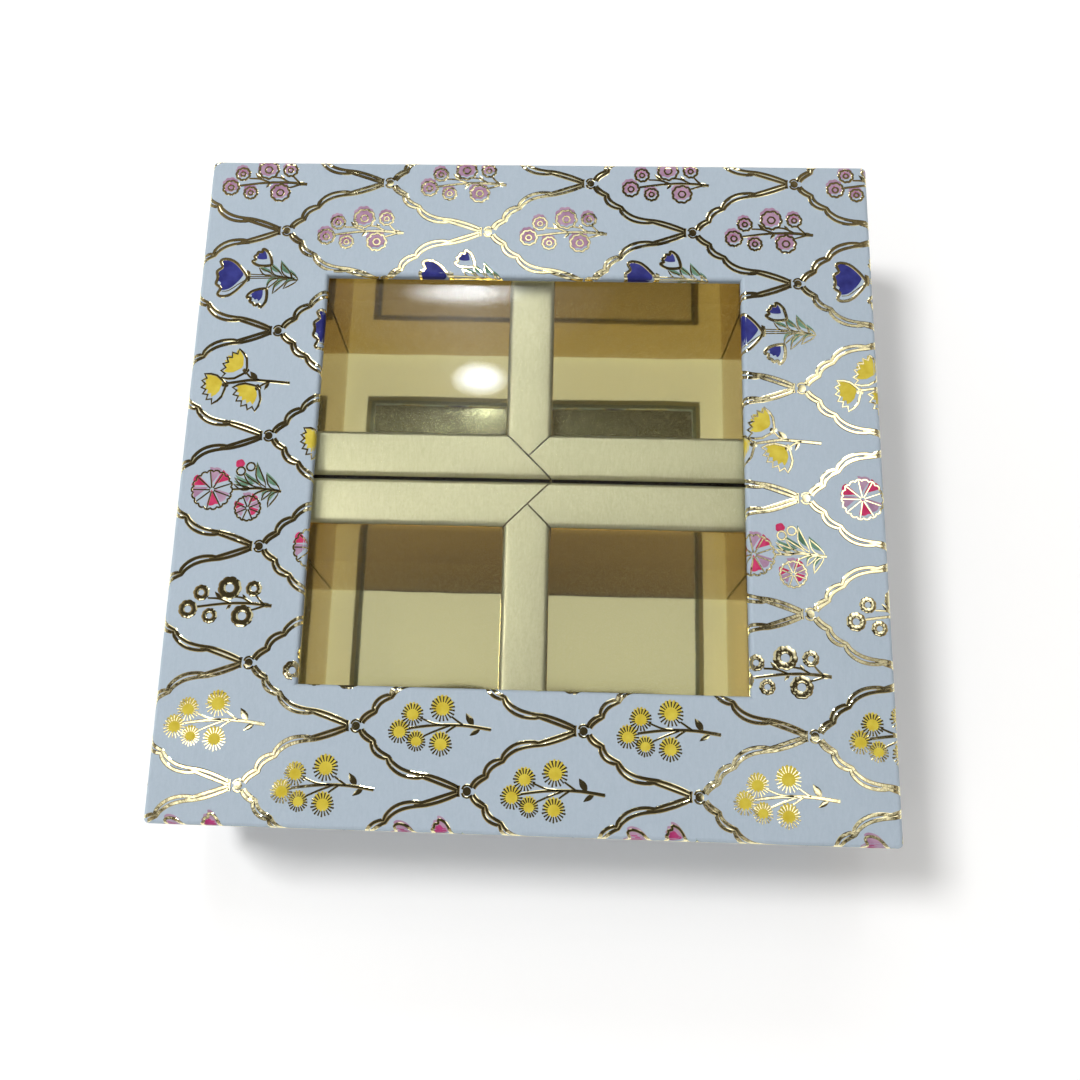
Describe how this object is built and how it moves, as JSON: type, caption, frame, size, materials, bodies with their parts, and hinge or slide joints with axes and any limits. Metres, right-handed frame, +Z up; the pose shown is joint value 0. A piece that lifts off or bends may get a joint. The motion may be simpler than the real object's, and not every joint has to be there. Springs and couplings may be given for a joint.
{
  "type": "gift box",
  "caption": "Square rigid gift box for dried fruit, with a lift-off window lid in floral foil paper and folded gold card trays inside.",
  "frame": {"origin": "on the table under the middle of the box", "axes": "+Z up, +Y to the back of the box, +X to its right as pictured"},
  "size_m": [0.203, 0.203, 0.0569],
  "materials": {
    "greyboard": "raw greyboard",
    "printed_paper": "satin pale paper with gold foil and coloured print",
    "wrap_paper": "satin pale paper",
    "plain_paper": "uncoated white lining paper",
    "kraft_tape": "gummed paper tape",
    "film_tape": "double-sided tissue tape",
    "clear_film": "clear gloss film",
    "gold_card": "satin gold metallised card"
  },
  "bodies": {
    "base": {"base_board": "greyboard", "base_wrap": "wrap_paper", "base_bottom_paper": "plain_paper", "base_inner_paper": "plain_paper", "base_corner_stay_back_right": "kraft_tape", "base_corner_stay_back_left": "kraft_tape", "base_corner_stay_front_left": "kraft_tape", "base_corner_stay_front_right": "kraft_tape"},
    "back_tray": {"back_tray": "gold_card"},
    "front_tray": {"front_tray": "gold_card"},
    "lid": {"lid_board": "greyboard", "lid_wrap": "printed_paper", "window_film": "clear_film", "lid_lining": "plain_paper", "lid_corner_stay_back_right": "kraft_tape", "lid_corner_stay_back_left": "kraft_tape", "lid_corner_stay_front_left": "kraft_tape", "lid_corner_stay_front_right": "kraft_tape", "film_tape_back": "film_tape", "film_tape_front": "film_tape", "film_tape_left": "film_tape", "film_tape_right": "film_tape"}
  },
  "joints": [
    {"name": "back_tray_lift", "type": "slide", "parent": "base", "child": "back_tray", "axis": [0, 0, 1], "range_m": [0, 0.06]},
    {"name": "front_tray_lift", "type": "slide", "parent": "back_tray", "child": "front_tray", "axis": [0, 0, 1], "range_m": [0, 0.06]},
    {"name": "lid_lift", "type": "slide", "parent": "front_tray", "child": "lid", "axis": [0, 0, 1], "range_m": [0, 0.08]}
  ]
}
